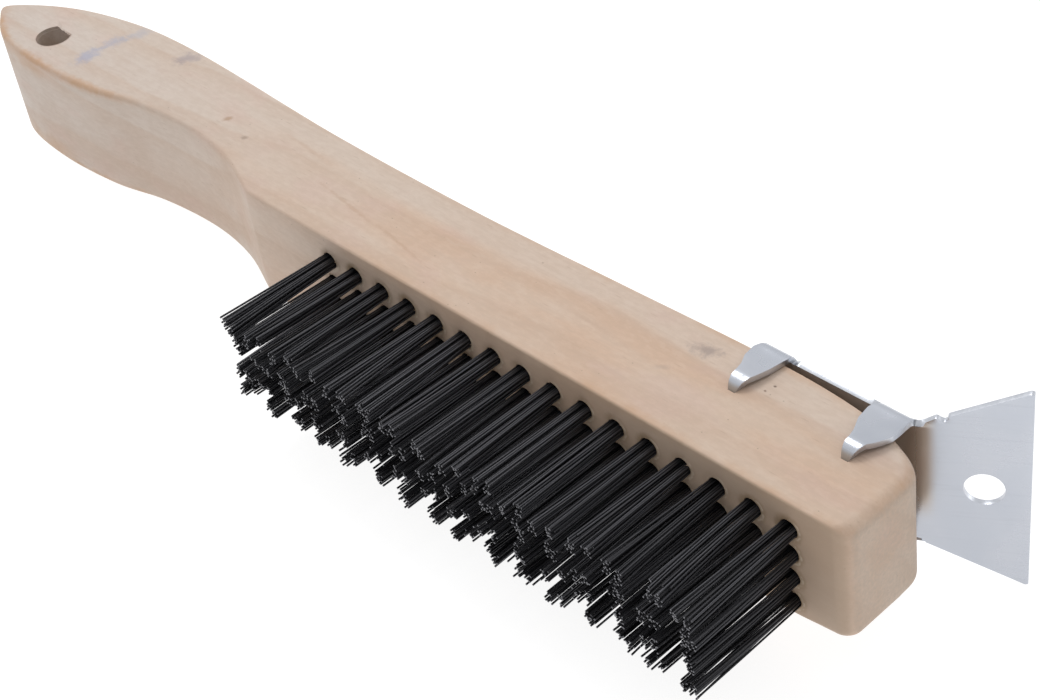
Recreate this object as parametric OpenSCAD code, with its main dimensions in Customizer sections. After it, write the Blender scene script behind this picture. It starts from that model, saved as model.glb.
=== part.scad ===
// Wire scratch brush with a wooden shoe handle and a steel scraper on its toe.
//
// The brush lies on its side. X runs from the tip of the handle to the toe, the bristles
// point to -Y and Z is the thickness of the board. The origin is the axis of the hang
// hole, in the plane of the lower face of the board.

/* [Wooden handle and block] */
// Thickness of the board that the handle is sawn from
board_t = 26.4; // [25:0.1:30]
// Distance from the axis of the hang hole to the face that holds the bristles
face_drop = 11; // [10.5:0.1:12]
// Rounding of the sanded edges
edge_r = 1.2; // [1:0.1:2]
// Rounding of the edges around the toe
toe_edge_r = 2.6; // [2:0.1:2.7]
// Rounding of the corner between the bristle face and the toe
toe_corner_r = 3; // [3:0.1:6]
// Diameter of the hang hole
hang_d = 8; // [6:0.5:9]

/* [Bristles] */
// Number of tufts along the block
columns = 16; // [6:1:16]
// Number of tufts across the block
rows = 4; // [2:1:4]
// Spacing of the tufts along the block
column_pitch = 7.8; // [7:0.1:8]
// Spacing of the tufts across the block
row_pitch = 5.5; // [5:0.1:6]
// How far the rows sit below the middle of the board
row_drop = 1; // [0:0.1:1]
// Diameter of a tuft hole
tuft_hole_d = 3.7; // [3.6:0.1:3.8]
// Depth of a tuft hole
tuft_hole_depth = 13; // [10:0.5:15]
// Length of wire that stands out of the block
trim = 26; // [15:1:40]

/* [Scraper] */
// Thickness of the steel sheet
sheet_t = 1.1; // [0.9:0.1:1.3]
// Angle between the blade and the back of the block
blade_angle = 31; // [15:1:45]
// Length of the blade past its bend
blade_len = 17.6; // [15:0.1:25]
// Width of the blade at its free edge
blade_end_w = 44; // [36:1:50]
// Diameter of the hole in the blade
blade_hole_d = 7; // [4:0.5:9]
// Clear gap between the sheet and the back of the block
sheet_gap = 0.9; // [0.5:0.1:1.2]

/* [Hidden] */
$fn = 48;

// ---- outline of the board ----
// Points that the outline passes through, from the neck corner round the handle to the toe
NECK_TO_TOE = [
    [85.5, -face_drop], [72, -6], [57.5, -4], [40, -5], [25, -8], [7.5, -9], [-9, -7.5],
    [-19, -2.5], [-21.5, 2], [-8.5, 10], [9, 15], [28, 16.5], [55, 15.5], [90.5, 13.5],
    [130, 13], [168, 14], [191, 14.7], [202, 14.5], [212, 13.8], [221, 12.9], [229, 11.4],
    [235.4, 8.8], [238.7, 5], [239.5, 1]
];
SPLINE_STEPS = 6;
CORNER_STEPS = 6;
EDGE_STEPS = 4;
// Place of the tip of the handle among the points of the outline
TIP_I = 8 * SPLINE_STEPS;
BEND_STEPS = 8;
toe_x = 239.5;
// Distance over which the edge rounding grows towards the toe
toe_blend = 8;
// Back of the block, where the scraper lies behind it
back_y = 14.7;

// ---- tufts and staples ----
last_column_x = 227.6;
first_column_x = last_column_x - (columns - 1) * column_pitch;
row_mid_z = board_t / 2 - row_drop;
bundle_t = 1.4;
bundle_w = 1.9;
staple_d = 0.7;
// Room round a staple, for the wires and in its holes
staple_clear = 0.05;
// Radius of the bend that a folded bundle makes round its staple
fold_r = staple_d / 2 + bundle_t / 2 + staple_clear;
// Distance from the bristle face to the axis of the staple
staple_depth = tuft_hole_depth - fold_r - bundle_t / 2;
staple_half_span = bundle_w / 2 + staple_d / 2 + staple_clear;
staple_leg = 7;

// ---- scraper ----
web_y = back_y + sheet_gap;
face_gap = 0.2;
fold_in_r = 0.7;
// How far a claw's fold runs on into the sheet it belongs to
fold_lap = 0.6;
web_half_w = board_t / 2 + face_gap;
web_x = [197.5, 230.4];
bend_in_r = 4.5;
// Left edge and length of each claw
CLAWS = [[197.5, 12.3], [223, 13.7]];
claw_fold_w = 6.9;
claw_root_w = 8.2;
claw_root_h = 1.5;
// Slot between a claw's fold and the edge of the sheet beside it
relief_w = 0.8;
claw_tip_w = 3.8;
claw_tip_shift = 3.1;
// How far a claw climbs from its fold to the bend at its tip
claw_rise = 0.8;
claw_bend_r = 2.5;
claw_bend_angle = 66;
// Length and end width of the straight point past that bend
claw_point = 1.9;
claw_point_w = 0.9;
blade_corner = 0.8;
blade_corner_drop = 0.3;
// Place and size of the small nick in the upper edge of the blade
nick_at = 3.7;
nick_w = 2;
nick_deep = 0.9;
blade_hole_at = 10.2;
// Centre of the bend between the sheet behind the block and the blade
bend_c = [web_x[1], web_y + sheet_t + bend_in_r];

// ---- cutting shapes ----
// How far they run past the faces that they cut
past = 1;
// Longer than any part of the sheet
far = 100;

function two_digits(n) = str(n < 10 ? "0" : "", n);
function column_names(stem) = [for (c = [1:columns]) str(stem, two_digits(c))];

// Point at fraction t of the spline span from b to c, with neighbours a and d
function spline_point(a, b, c, d, t) =
    0.5 * (2 * b + (c - a) * t + (2 * a - 5 * b + 4 * c - d) * t * t
        + (3 * b - a - 3 * c + d) * t * t * t);

// Smooth open curve through all the points p
function spline(p, steps) =
    let (n = len(p) - 1, q = concat([2 * p[0] - p[1]], p, [2 * p[n] - p[n - 1]]))
    concat(
        [for (i = [0:n - 1], s = [0:steps - 1])
            spline_point(q[i], q[i + 1], q[i + 2], q[i + 3], s / steps)],
        [p[n]]
    );

// Points of an arc round c
function arc(c, r, from, to, steps) = [
    for (i = [0:steps])
        let (a = from + (to - from) * i / steps)
        c + r * [cos(a), sin(a)]
];

// Quarter round between the toe and the bristle face
function toe_corner() =
    arc([toe_x - toe_corner_r, toe_corner_r - face_drop], toe_corner_r, 0, -90, CORNER_STEPS);

function outline() = concat(
    spline(NECK_TO_TOE, SPLINE_STEPS),
    toe_corner(),
    [[toe_x - toe_blend, -face_drop]]
);

function smooth(t) = let (u = min(1, max(0, t))) u * u * (3 - 2 * u);

// Edge rounding at a point x along the board
function edge_at(x) =
    let (growth = max(toe_edge_r, edge_r) - edge_r)
    edge_r + growth * smooth((x - toe_x + toe_blend) / toe_blend);

// Direction into the wood at point i of a clockwise outline p
function inward(p, i) =
    let (n = len(p), d = p[(i + 1) % n] - p[(i + n - 1) % n])
    [d[1], -d[0]] / norm(d);

// One closed loop of the board's surface: side 0 is the lower edge and side 1 the upper one
function ring(p, side, step) = [
    for (i = [0:len(p) - 1])
        let (
            r = edge_at(p[i][0]),
            a = 90 * step / EDGE_STEPS,
            xy = p[i] + r * (1 - sin(a)) * inward(p, i),
            h = r * (1 - cos(a))
        )
        [xy[0], xy[1], side == 0 ? h : board_t - h]
];

// Triangles that cover the outline: rungs between its two sides from the tip of the handle
// to the neck, then a fan over the block
function cover(n) = concat(
    [for (k = [0:TIP_I - 1]) [TIP_I - k - 1, TIP_I - k, TIP_I + k + 1]],
    [for (k = [1:TIP_I - 1]) [TIP_I - k, TIP_I + k, TIP_I + k + 1]],
    [for (i = [2 * TIP_I:n - 2]) [0, i, i + 1]]
);

// The solid board with rounded edges, before any hole is made
module board() {
    p = outline();
    n = len(p);
    rings = concat(
        [for (s = [0:EDGE_STEPS]) ring(p, 0, s)],
        [for (s = [EDGE_STEPS:-1:0]) ring(p, 1, s)]
    );
    last = len(rings) - 1;
    walls = [
        for (k = [0:last - 1], i = [0:n - 1])
            let (j = (i + 1) % n)
            [k * n + j, (k + 1) * n + j, (k + 1) * n + i, k * n + i]
    ];
    lower_face = [for (t = cover(n)) [t[2], t[1], t[0]]];
    upper_face = [for (t = cover(n)) last * n * [1, 1, 1] + t];
    polyhedron(
        points = [for (k = [0:last], i = [0:n - 1]) rings[k][i]],
        faces = concat(lower_face, walls, upper_face),
        convexity = 6
    );
}

function column_x(c) = first_column_x + (c - 1) * column_pitch;
function row_z(r) = row_mid_z + (r - (rows - 1) / 2) * row_pitch;

// Puts its children at each tuft of one column, at the bristle face
module at_tufts(c) {
    for (r = [0:rows - 1])
        translate([column_x(c), -face_drop, row_z(r)])
            children();
}

// Bore of one tuft, with the two small holes that the staple cuts below it
module tuft_hole() {
    rotate([-90, 0, 0])
        translate([0, 0, -past])
            cylinder(h = tuft_hole_depth + past, d = tuft_hole_d);
    staple_legs(staple_clear);
}

module staple_legs(clear = 0) {
    for (side = [-1, 1])
        translate([0, staple_depth, side * staple_half_span])
            rotate([-90, 0, 0])
                cylinder(h = staple_leg + clear, d = staple_d + 2 * clear, $fn = 16);
}

// U-shaped staple: its crown lies in the fold of the wires and its legs hold in the wood
module staple() {
    translate([0, staple_depth, -staple_half_span])
        cylinder(h = 2 * staple_half_span, d = staple_d, $fn = 16);
    for (side = [-1, 1])
        translate([0, staple_depth, side * staple_half_span])
            sphere(d = staple_d, $fn = 16);
    staple_legs();
}

// Cross-section of half a tuft: flat sides with round ends
module bundle_section() {
    straight = bundle_w - bundle_t;
    square([bundle_t, straight], center = true);
    for (side = [-1, 1])
        translate([0, side * straight / 2])
            circle(d = bundle_t, $fn = 24);
}

// Half a tuft, from the staple to the cut ends of the wires
module half_tuft(side) {
    translate([side * fold_r, staple_depth, 0])
        rotate([90, 0, 0])
            linear_extrude(staple_depth + trim)
                bundle_section();
}

// A bundle of wires folded in half round its staple
module tuft() {
    half_tuft(-1);
    half_tuft(1);
    translate([0, staple_depth, 0])
        rotate_extrude(angle = 180)
            translate([fold_r, 0])
                bundle_section();
}

// Side view of one claw, from the sheet behind the block over its upper face to the point
// that bites into the wood: x of the profile is y of the brush
function claw_profile(flat_len) =
    let (
        fold_c = [web_y - fold_in_r, board_t + face_gap - fold_in_r],
        tip_c = [fold_c[0] - flat_len, board_t + face_gap + claw_rise - claw_bend_r],
        tip_to = 90 + claw_bend_angle,
        point = claw_point * [-sin(tip_to), cos(tip_to)],
        under = concat(
            [[web_y, fold_c[1] - fold_lap]],
            arc(fold_c, fold_in_r, 0, 90, BEND_STEPS),
            arc(tip_c, claw_bend_r, 90, tip_to, BEND_STEPS)
        ),
        over = concat(
            arc(tip_c, claw_bend_r + sheet_t, tip_to, 90, BEND_STEPS),
            arc(fold_c, fold_in_r + sheet_t, 90, 0, BEND_STEPS),
            [[web_y + sheet_t, fold_c[1] - fold_lap]]
        )
    )
    concat(under, [under[len(under) - 1] + point, over[0] + point], over);

// Outline of one claw seen from above, with y = 0 where its flat part begins
module claw_outline(flat_len) {
    point_x = claw_tip_shift + (claw_tip_w - claw_point_w) / 2;
    point_y = flat_len + (claw_bend_r + sheet_t) * sin(claw_bend_angle)
        + claw_point * cos(claw_bend_angle);
    polygon([
        [0, fold_in_r + sheet_t + past],
        [claw_fold_w, fold_in_r + sheet_t + past],
        [claw_fold_w, 0],
        [claw_root_w, -claw_root_h],
        [claw_tip_shift + claw_tip_w, -flat_len],
        [point_x + claw_point_w, -point_y - past],
        [point_x, -point_y - past],
        [claw_tip_shift, -flat_len],
        [0, -claw_root_h]
    ]);
}

// One claw folded from the edge of the sheet over the upper face of the board
module upper_claw(c) {
    flat_len = c[1] - sheet_t - fold_in_r - claw_bend_r;
    intersection() {
        translate([c[0] - past, 0, 0])
            rotate([90, 0, 90])
                linear_extrude(claw_root_w + 2 * past)
                    polygon(claw_profile(flat_len));
        translate([c[0], web_y - fold_in_r, 0])
            linear_extrude(far)
                claw_outline(flat_len);
    }
}

// Puts its children on both sides of the board
module both_sides() {
    children();
    translate([0, 0, board_t])
        mirror([0, 0, 1])
            children();
}

module claws() {
    both_sides()
        for (c = CLAWS)
            upper_claw(c);
}

// Edge view of the sheet behind the block, its bend and the blade
function sheet_profile() =
    let (
        to = blade_angle - 90,
        blade_run = blade_len * [cos(blade_angle), sin(blade_angle)],
        wood_side = concat(
            [[web_x[0], web_y]],
            arc(bend_c, bend_in_r + sheet_t, -90, to, BEND_STEPS)
        ),
        outer_side = concat(
            arc(bend_c, bend_in_r, to, -90, BEND_STEPS),
            [[web_x[0], web_y + sheet_t]]
        )
    )
    concat(
        wood_side,
        [wood_side[len(wood_side) - 1] + blade_run, outer_side[0] + blade_run],
        outer_side
    );

// Outline of the sheet seen square to the blade: x is the distance from the end of the bend,
// y the height above its middle
module sheet_outline() {
    end_h = blade_end_w / 2;
    nick_h = web_half_w + (end_h - web_half_w) * nick_at / blade_len - nick_deep;
    difference() {
        polygon([
            [-far, -web_half_w],
            [0, -web_half_w],
            [blade_len - blade_corner, -end_h + blade_corner_drop],
            [blade_len + past, -end_h + blade_corner + past],
            [blade_len + past, end_h - blade_corner - past],
            [blade_len - blade_corner, end_h - blade_corner_drop],
            [0, web_half_w],
            [-far, web_half_w]
        ]);
        translate([blade_hole_at, 0])
            circle(d = blade_hole_d);
        translate([nick_at - nick_w / 2, nick_h])
            square([nick_w, 2 * nick_deep]);
    }
}

// Web behind the block and blade, in one strip
module strip() {
    intersection() {
        translate([0, 0, (board_t - far) / 2])
            linear_extrude(far)
                polygon(sheet_profile());
        translate([bend_c[0], bend_c[1], board_t / 2])
            rotate([0, 0, blade_angle])
                rotate([90, 0, 0])
                    linear_extrude(far, center = true)
                        sheet_outline();
    }
}

// The strip is cut back to each claw's fold and to the slots beside it
module scraper() {
    fold_start_z = board_t + face_gap - fold_in_r;
    color([0.76, 0.79, 0.83]) {
        difference() {
            strip();
            both_sides()
                for (c = CLAWS)
                    translate([c[0] - relief_w, web_y - past, fold_start_z])
                        cube([claw_fold_w + 2 * relief_w, sheet_t + 2 * past, fold_in_r + past]);
        }
        claws();
    }
}

module handle_block() {
    color([0.80, 0.71, 0.62])
        difference() {
            board();
            translate([0, 0, -past])
                cylinder(h = board_t + 2 * past, d = hang_d);
            for (c = [1:columns])
                at_tufts(c)
                    tuft_hole();
            claws();
        }
}

module tufts_column(c) {
    color([0.09, 0.09, 0.10])
        at_tufts(c)
            tuft();
}

module staples_column(c) {
    color([0.60, 0.61, 0.63])
        at_tufts(c)
            staple();
}

handle_block();
scraper();
for (c = [1:columns]) {
    tufts_column(c);
    staples_column(c);
}
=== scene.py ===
import math
import random

import bpy
import bmesh
from mathutils import Matrix, Vector, noise
from mathutils.geometry import delaunay_2d_cdt


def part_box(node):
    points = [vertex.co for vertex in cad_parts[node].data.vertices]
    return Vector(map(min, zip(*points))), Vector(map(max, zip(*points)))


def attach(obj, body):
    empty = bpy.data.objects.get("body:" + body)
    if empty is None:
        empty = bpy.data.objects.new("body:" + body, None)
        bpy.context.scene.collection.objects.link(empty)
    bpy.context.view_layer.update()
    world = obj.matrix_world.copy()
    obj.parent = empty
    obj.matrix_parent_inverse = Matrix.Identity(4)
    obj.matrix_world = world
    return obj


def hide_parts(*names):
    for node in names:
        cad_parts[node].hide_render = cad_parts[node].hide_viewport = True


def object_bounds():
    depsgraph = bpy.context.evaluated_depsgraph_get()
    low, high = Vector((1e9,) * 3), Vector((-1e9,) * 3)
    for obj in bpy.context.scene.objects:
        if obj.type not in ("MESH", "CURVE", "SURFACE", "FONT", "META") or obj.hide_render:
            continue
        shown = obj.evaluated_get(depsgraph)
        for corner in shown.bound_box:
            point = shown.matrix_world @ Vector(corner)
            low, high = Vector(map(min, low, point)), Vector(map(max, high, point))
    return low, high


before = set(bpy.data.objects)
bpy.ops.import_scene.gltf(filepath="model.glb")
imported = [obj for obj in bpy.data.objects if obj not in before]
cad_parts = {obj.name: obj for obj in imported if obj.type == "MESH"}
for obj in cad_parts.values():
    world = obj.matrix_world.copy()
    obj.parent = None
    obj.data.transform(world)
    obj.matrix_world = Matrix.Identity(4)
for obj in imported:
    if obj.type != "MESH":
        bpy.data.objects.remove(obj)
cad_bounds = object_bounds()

MM = 0.001
board_lo, board_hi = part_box("handle_block")
BOARD_T = board_hi.z - board_lo.z
FACE_Y = board_lo.y
TOE_X = board_hi.x
COLUMNS = len([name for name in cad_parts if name.startswith("tufts_col_")])
ROWS = 4


# ---------------------------------------------------------------- camera

AZIMUTH, ELEVATION, ROLL = 52.14, 39.69, -9.48
CAMERA_DISTANCE = 0.3988
LENS = 73.66
# Where it looks, as a share of the board's length, width and thickness
AIM_SHARE = (0.67, 0.35, 0.5)


def make_camera():
    """Looks down at the brush from the bristle side, past its toe."""
    az, el, roll = (math.radians(v) for v in (AZIMUTH, ELEVATION, ROLL))
    right = Vector((math.cos(az), math.sin(az), 0))
    up = Vector((-math.sin(az) * math.sin(el), math.cos(az) * math.sin(el), math.cos(el)))
    back = right.cross(up)
    target = board_lo + (board_hi - board_lo) * Vector(AIM_SHARE)
    data = bpy.data.cameras.new("camera")
    data.lens = LENS
    data.sensor_width = 36
    data.clip_start = 0.01
    camera = bpy.data.objects.new("camera", data)
    bpy.context.scene.collection.objects.link(camera)
    turned_right = math.cos(roll) * right + math.sin(roll) * up
    turned_up = math.cos(roll) * up - math.sin(roll) * right
    axes = Matrix((turned_right, turned_up, back)).transposed().to_4x4()
    camera.matrix_world = Matrix.Translation(target + CAMERA_DISTANCE * back) @ axes
    bpy.context.scene.camera = camera


# ---------------------------------------------------------------- shader helpers

class Shader:
    """A node material with one Principled shader, and short ways to add nodes to it."""

    def __init__(self, name):
        self.material = bpy.data.materials.new(name)
        self.material.use_nodes = True
        self.tree = self.material.node_tree
        self.tree.nodes.clear()
        self.bsdf = self.tree.nodes.new("ShaderNodeBsdfPrincipled")
        output = self.tree.nodes.new("ShaderNodeOutputMaterial")
        self.tree.links.new(self.bsdf.outputs[0], output.inputs[0])
        self.place = self.tree.nodes.new("ShaderNodeTexCoord").outputs["Object"]

    def put(self, value, socket):
        if isinstance(value, bpy.types.NodeSocket):
            self.tree.links.new(value, socket)
        elif isinstance(value, (int, float)) or socket.type != "RGBA":
            socket.default_value = value
        else:
            socket.default_value = (*value, 1) if len(value) == 3 else value

    def math(self, operation, *values, clamp=False):
        node = self.tree.nodes.new("ShaderNodeMath")
        node.operation = operation
        node.use_clamp = clamp
        for value, socket in zip(values, node.inputs):
            self.put(value, socket)
        return node.outputs[0]

    def vector(self, operation, *values):
        node = self.tree.nodes.new("ShaderNodeVectorMath")
        node.operation = operation
        for value, socket in zip(values, node.inputs):
            self.put(value, socket)
        return node.outputs["Value" if operation in ("LENGTH", "DOT_PRODUCT") else "Vector"]

    def split(self, vector):
        node = self.tree.nodes.new("ShaderNodeSeparateXYZ")
        self.put(vector, node.inputs[0])
        return node.outputs

    def join(self, x, y, z):
        node = self.tree.nodes.new("ShaderNodeCombineXYZ")
        for value, socket in zip((x, y, z), node.inputs):
            self.put(value, socket)
        return node.outputs[0]

    def stretched(self, scale):
        return self.vector("MULTIPLY", self.place, scale)

    def noise(self, vector, scale=1.0, detail=2.0, roughness=0.5, distortion=0.0):
        node = self.tree.nodes.new("ShaderNodeTexNoise")
        self.put(vector, node.inputs["Vector"])
        node.inputs["Scale"].default_value = scale
        node.inputs["Detail"].default_value = detail
        node.inputs["Roughness"].default_value = roughness
        node.inputs["Distortion"].default_value = distortion
        return node.outputs["Fac"]

    def cells(self, vector, scale=1.0):
        """Distance to the nearest cell centre, and that cell's random value."""
        node = self.tree.nodes.new("ShaderNodeTexVoronoi")
        self.put(vector, node.inputs["Vector"])
        node.inputs["Scale"].default_value = scale
        return node.outputs["Distance"], self.split(node.outputs["Color"])[0]

    def span(self, value, lo, hi, to_lo=0.0, to_hi=1.0):
        """Smooth step of value from lo..hi to to_lo..to_hi."""
        node = self.tree.nodes.new("ShaderNodeMapRange")
        node.interpolation_type = "SMOOTHSTEP"
        for v, socket in zip((value, lo, hi, to_lo, to_hi), node.inputs):
            self.put(v, socket)
        return node.outputs[0]

    def ramp(self, value, *stops):
        node = self.tree.nodes.new("ShaderNodeValToRGB")
        ramp = node.color_ramp
        while len(ramp.elements) < len(stops):
            ramp.elements.new(0.5)
        for element, (at, level) in zip(ramp.elements, stops):
            element.position = at
            element.color = (level, level, level, 1)
        self.put(value, node.inputs[0])
        return node.outputs[0]

    def mix(self, factor, a, b, blend="MIX"):
        node = self.tree.nodes.new("ShaderNodeMix")
        node.data_type = "RGBA"
        node.blend_type = blend
        self.put(factor, node.inputs[0])
        self.put(a, node.inputs[6])
        self.put(b, node.inputs[7])
        return node.outputs[2]

    def attribute(self, name):
        node = self.tree.nodes.new("ShaderNodeAttribute")
        node.attribute_name = name
        return node.outputs["Fac"]

    def normal(self):
        return self.split(self.tree.nodes.new("ShaderNodeNewGeometry").outputs["Normal"])

    def bump(self, height, depth, strength=1.0):
        node = self.tree.nodes.new("ShaderNodeBump")
        node.inputs["Strength"].default_value = strength
        node.inputs["Distance"].default_value = depth
        self.put(height, node.inputs["Height"])
        self.put(node.outputs[0], self.bsdf.inputs["Normal"])

    def set(self, **values):
        for name, value in values.items():
            self.put(value, self.bsdf.inputs[name.replace("_", " ")])


# ---------------------------------------------------------------- materials

# Marks on the upper face: centre and half-lengths in millimetres, turn in degrees, colour, strength
FACE_MARKS = [
    ((14.1, -0.2), (4.4, 2.7), 88, (0.30, 0.34, 0.50), 0.55),
    ((14.4, 7.3), (3.8, 2.4), 80, (0.33, 0.37, 0.50), 0.50),
    ((16.6, 12.4), (3.4, 2.2), 66, (0.42, 0.43, 0.50), 0.45),
    ((34.6, 12.6), (3.8, 2.5), 60, (0.33, 0.28, 0.30), 0.60),
    ((61.4, 3.1), (1.5, 0.8), 60, (0.42, 0.27, 0.17), 0.70),
    ((70.0, 0.8), (1.0, 0.7), 25, (0.30, 0.22, 0.17), 0.60),
    ((192.0, 8.9), (3.4, 1.9), 10, (0.36, 0.29, 0.26), 0.75),
    ((189.0, 1.0), (1.9, 0.8), 30, (0.42, 0.33, 0.28), 0.30),
    ((207.8, 9.1), (0.42, 0.36), 0, (0.16, 0.10, 0.07), 0.95),
    ((207.2, 7.2), (0.30, 0.24), 0, (0.22, 0.14, 0.10), 0.80),
    ((151.0, 9.0), (0.34, 0.28), 0, (0.28, 0.18, 0.12), 0.65),
    ((106.0, -1.2), (13.0, 0.55), -8, (0.50, 0.33, 0.23), 0.45),
    ((124.0, -3.4), (9.0, 0.5), -10, (0.50, 0.33, 0.23), 0.40),
    ((84.0, 6.5), (10.0, 0.6), -5, (0.52, 0.36, 0.26), 0.35),
    ((171.0, 2.0), (12.0, 0.7), -4, (0.52, 0.35, 0.25), 0.32),
]


def wood_material(columns):
    """Pale, plainly sanded hardwood, with handled edges and a few natural marks, and painted shade on the
    bristle face and just inside the tuft holes.
    """
    s = Shader("wood")
    x, y, z = s.split(s.place)
    nx, ny, nz = s.normal()
    patchy = s.noise(s.stretched((130, 130, 130)), detail=3)
    fibres = s.noise(s.stretched((55, 2300, 2300)), detail=3, roughness=0.6)
    grain = s.noise(s.stretched((900, 1500, 1500)), detail=2)

    colour = ringed_colour(s, x, y, z)
    colour = fibred_colour(s, colour, fibres)
    colour, rays = pored_colour(s, colour)
    # the ends show the wood across its fibres
    end = s.span(s.math("ABSOLUTE", nx), 0.75, 0.98)
    end = s.math("MULTIPLY", end, s.span(grain, 0.3, 0.75, 0.35, 0.70))
    colour = s.mix(end, colour, (0.47, 0.385, 0.315))
    stain = hand_stain(s, x, y, nz, patchy)
    colour = s.mix(stain, colour, (0.56, 0.335, 0.19))
    # painted shade: the face that the tufts stand in darkens towards the toe, standing in for the shade
    # the wires cast on it
    tuft_shade_start = columns[0][0].x - 14 * MM
    painted_tuft_shade = s.math("MULTIPLY", s.span(ny, -0.45, -0.9), s.span(x, tuft_shade_start, TOE_X, 0.0, 0.75))
    colour = s.mix(painted_tuft_shade, colour, (0.45, 0.335, 0.245))
    hole_shade_and_hang_rim, smear, pale_rim = hole_marks(s, columns, x, y, z, patchy)
    colour = s.mix(smear, colour, (0.33, 0.225, 0.14))
    colour = s.mix(pale_rim, colour, (0.70, 0.60, 0.48))
    # painted shade inside the tuft holes' mouths, together with the dark rim round the hang hole
    colour = s.mix(hole_shade_and_hang_rim, colour, (0.20, 0.12, 0.08))
    colour = marked_colour(s, colour, x, y, z)

    polish = s.span(patchy, 0.3, 0.7, 0.52, 0.68)
    s.set(Base_Color=colour, Roughness=s.math("SUBTRACT", polish, s.math("MULTIPLY", stain, 0.12)))
    s.set(Specular_IOR_Level=0.28)

    # raised fibres, and the faint ripple that a spindle sander leaves on the shaped sides
    side = s.span(s.math("ABSOLUTE", nz), 0.6, 0.2)
    ripple = s.noise(s.stretched((900, 60, 25)), detail=1)
    height = s.math("MULTIPLY_ADD", fibres, 0.7, s.math("MULTIPLY", grain, 0.25))
    height = s.math("MULTIPLY_ADD", s.math("MULTIPLY", ripple, side), 0.6, height)
    height = s.math("SUBTRACT", height, s.math("MULTIPLY", rays, 0.3))
    s.bump(height, 0.05 * MM, 0.55)
    return s.material


def ringed_colour(s, x, y, z):
    """Base tone of the board, greyer where hands hold it and warmer towards the toe, with growth
    rings round a pith that lies outside the board, nearly along its length."""
    wander = s.noise(s.stretched((16, 45, 45)), detail=2)
    ring_y = s.math("ADD", s.math("MULTIPLY_ADD", x, -0.045, y), 62 * MM)
    ring_z = s.math("ADD", z, 34 * MM)
    from_pith = s.math("SQRT", s.math("ADD", s.math("MULTIPLY", ring_y, ring_y),
                                      s.math("MULTIPLY", ring_z, ring_z)))
    years = s.math("MULTIPLY_ADD", wander, 1.1, s.math("DIVIDE", from_pith, 8.2 * MM))
    late = s.ramp(s.math("FRACT", years), (0, 0.05), (0.55, 0.2), (0.93, 1), (1, 0.05))

    blotches = s.noise(s.stretched((26, 95, 60)), detail=3, roughness=0.55)
    warm = s.span(x, -10 * MM, 150 * MM)
    pale = s.mix(warm, (0.640, 0.560, 0.500), (0.660, 0.515, 0.408))
    deep = s.mix(warm, (0.600, 0.500, 0.430), (0.650, 0.462, 0.340))
    colour = s.mix(s.span(blotches, 0.36, 0.64), pale, deep)
    near_back = s.span(s.math("MULTIPLY_ADD", wander, 9 * MM, y), 9 * MM, 13 * MM)
    colour = s.mix(s.math("MULTIPLY", near_back, 0.6), colour, (0.66, 0.56, 0.48))
    colour = s.mix(s.math("MULTIPLY", late, 0.36), colour, (0.54, 0.375, 0.272))
    pink = s.noise(s.stretched((60, 130, 130)), detail=2)
    return s.mix(s.span(pink, 0.52, 0.72, 0, 0.30), colour, (0.64, 0.45, 0.385))


def fibred_colour(s, colour, fibres):
    """Darker fibres, fine mottling and long streaks."""
    colour = s.mix(s.span(fibres, 0.35, 0.75, 0, 0.13), colour, (0.47, 0.34, 0.25))
    mottle = s.noise(s.stretched((420, 900, 900)), detail=4, roughness=0.7)
    colour = s.mix(s.span(mottle, 0.40, 0.66, 0, 0.20), colour, (0.50, 0.385, 0.30))
    colour = s.mix(s.span(mottle, 0.52, 0.34, 0, 0.14), colour, (0.70, 0.60, 0.51))
    streaks = s.noise(s.stretched((14, 620, 620)), detail=2)
    return s.mix(s.span(streaks, 0.56, 0.8, 0, 0.12), colour, (0.50, 0.36, 0.27))


def pored_colour(s, colour):
    """Short brown rays and a few pores; also gives the mask of the rays."""
    ray, ray_pick = s.cells(s.stretched((230, 1500, 1500)))
    rays = s.math("MULTIPLY", s.span(ray, 0.30, 0.08), s.math("GREATER_THAN", ray_pick, 0.9))
    colour = s.mix(s.math("MULTIPLY", rays, 0.2), colour, (0.36, 0.24, 0.16))
    pore, pore_pick = s.cells(s.stretched((700, 900, 900)))
    pores = s.math("MULTIPLY", s.span(pore, 0.16, 0.05), s.math("GREATER_THAN", pore_pick, 0.93))
    return s.mix(s.math("MULTIPLY", pores, 0.45), colour, (0.22, 0.15, 0.10)), rays


def hand_stain(s, x, y, nz, patchy):
    """Mask for edges that hands have polished and stained, most of all along the handle."""
    frayed = s.noise(s.stretched((480, 480, 480)), detail=4, roughness=0.7)
    from_edge = s.attribute("edge")
    worn = s.span(s.math("MULTIPLY_ADD", frayed, -2.6 * MM, from_edge), 1.0 * MM, -1.1 * MM)
    rubbed = s.span(s.math("MULTIPLY_ADD", patchy, -7 * MM, from_edge), 2.2 * MM, -2.4 * MM)
    handle_end = s.math("MULTIPLY", s.span(x, 16 * MM, 2 * MM), s.span(nz, 0.7, 0.2))
    rubbed = s.math("MULTIPLY", rubbed, handle_end)
    held = s.math("MULTIPLY", s.span(x, 55 * MM, 20 * MM), s.span(y, 3 * MM, 0))
    handled = s.math("MAXIMUM", held, s.span(x, 90 * MM, 210 * MM, 0.15, 0.5))
    stain = s.math("MULTIPLY", s.math("MULTIPLY", worn, handled), s.span(patchy, 0.36, 0.62, 0.25, 0.8))
    return s.math("MAXIMUM", stain, s.math("MULTIPLY", rubbed, s.span(y, 3 * MM, 0, 0, 0.5)))


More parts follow.
